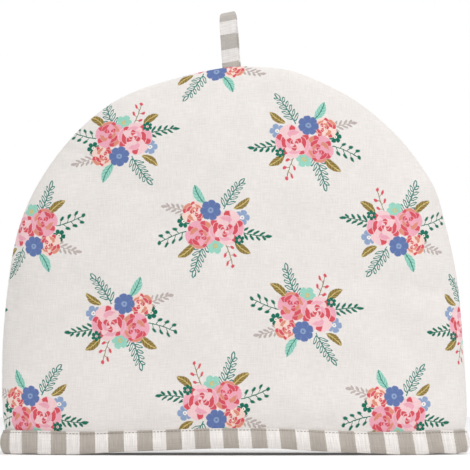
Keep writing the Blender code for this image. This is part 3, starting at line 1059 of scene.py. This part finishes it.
def makeLoop():
    piece = newGrid("hangingStrap", loop["columns"], loop["steps"])
    mesh = piece.data
    grid = readPoints(mesh)
    share = (grid[:, 1] + 1) / 2
    y, z, fromFold = loopLine(share)
    beside = grid[:, 0] * loop["width"] / 2
    narrowed = 1 - loop["corner"] * np.exp(-((fromFold / loop["cornerReach"]) ** 2))
    x = beside * narrowed + loop["skew"] * (smoothStep(*loop["twist"], share) - 0.5)
    out = np.where(y < 0, -1, 1)
    wrinkle = softNoise(np.column_stack([beside * 0.6, fromFold, 0 * beside]), loop["rippleSize"], 31.7)
    y = y + out * loop["ripple"] * wrinkle * smoothStep(0.0, 0.01, np.abs(fromFold))
    edge = softNoise(np.column_stack([0 * beside, fromFold, np.sign(beside)]), 0.012, 5.1)
    x = x + np.sign(beside) * loop["uneven"] * edge * (np.abs(grid[:, 0]) > 0.9)
    upShare = np.clip(z / loop["rise"], 0, 1)
    z = z + loop["slant"] * beside * upShare
    seamHeight = uneven(np.array([loop["x"]]), np.array([cosy["seamTop"]]))[1][0]
    lean = loop["lean"]
    points = np.column_stack(
        [
            loop["x"] + x * math.cos(lean) + z * math.sin(lean),
            y,
            seamHeight - x * math.sin(lean) + z * math.cos(lean),
        ]
    )
    writePoints(mesh, points)
    middle = stripes["middle"] / 1000 + stripes["grey"] / 2000
    stripePath = (np.abs(fromFold) - loop["stripeStart"]) * loop["drawnIn"] + middle
    stripePath -= loop["slant"] * beside * out * (1 - upShare)
    writeClothMap(mesh, stripePath, beside)
    # Painted light: the strap's colours are mixed this much towards white, as if it were lit more brightly
    writeAttribute(mesh, "paintedLight", np.full(len(points), loop["paintedLight"]))
    mesh.materials.append(stripedCotton)
    thicken(piece, loop["cloth"], 0, 1, loop["foldWidth"])
    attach(piece, "root")
    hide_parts("hanging_loop")
    piece.select_set(False)
    print("hangingStrap done,", len(piece.data.polygons), "faces")


makeLoop()

studio = {
    "lens": 800.0,  # a long lens, from far away, as such photographs are taken
    "sensor": 36.0,
    "frameWidth": 0.3307,  # metres across the picture at the side seams
    "frameMiddle": 0.1541,  # metres above the floor
    "floorRadius": 1.5,
    "wall": 0.32,  # how bright the studio is at eye level and overhead
    "ceiling": 0.95,
}


def makeFloor():
    bpy.ops.mesh.primitive_circle_add(
        vertices=96, radius=studio["floorRadius"], fill_type="NGON", location=(0, 0, 0)
    )
    floor = bpy.context.object
    floor.name = "studioFloor"
    floor.data.transform(floor.matrix_world)
    floor.matrix_world.identity()
    surface = {
        "Base Color": toLinear("#FAFAFA"),
        "Roughness": 0.9,
        "Specular IOR Level": 0.1,
        "Emission Color": (1, 1, 1, 1),
        "Emission Strength": 0.06,
    }
    floor.data.materials.append(newMaterial("paleStudioFloor", surface)[0])
    floor.select_set(False)


def makeSoftLight(name, place, aim, size, power):
    light = bpy.data.lights.new(name, "AREA")
    light.shape = "DISK"
    light.size = size
    light.energy = power
    lamp = bpy.data.objects.new(name, light)
    bpy.context.scene.collection.objects.link(lamp)
    lamp.location = place
    lamp.rotation_euler = (Vector(aim) - Vector(place)).to_track_quat("-Z", "Y").to_euler()


def makeStudio():
    makeFloor()
    world = bpy.data.worlds.new("whiteStudio")
    bpy.context.scene.world = world
    world.use_nodes = True
    tree = world.node_tree
    direction = addNode(tree, "SeparateXYZ", addNode(tree, "TexCoord").outputs["Generated"])
    ceiling = addNode(tree, "MapRange", direction.outputs[2], 0.0, 1.0, studio["wall"], studio["ceiling"])
    light = addNode(tree, "Background", (1, 1, 1, 1), ceiling)
    backdrop = tree.nodes["Background"]
    backdrop.inputs["Color"].default_value = (1, 1, 1, 1)
    path = addNode(tree, "LightPath")
    mixed = addNode(tree, "MixShader", path.outputs["Is Camera Ray"], light, backdrop)
    tree.links.new(mixed.outputs[0], tree.nodes["World Output"].inputs["Surface"])
    makeSoftLight("keyLight", (0.40, -1.25, 2.5), (0, 0, 0.14), 1.4, 26.0)
    makeSoftLight("sideLight", (2.3, -0.4, 1.0), (0, 0, 0.14), 1.2, 3.5)
    bpy.context.scene.view_settings.view_transform = "Standard"
    camera = bpy.data.cameras.new("camera")
    camera.lens = studio["lens"]
    camera.sensor_width = studio["sensor"]
    camera.clip_end = 100
    cameraObject = bpy.data.objects.new("camera", camera)
    bpy.context.scene.collection.objects.link(cameraObject)
    distance = studio["frameWidth"] * studio["lens"] / studio["sensor"]
    cameraObject.location = (0, -distance, studio["frameMiddle"])
    cameraObject.rotation_euler = (math.pi / 2, 0, 0)
    bpy.context.scene.camera = cameraObject
    print("studio ready")


makeStudio()
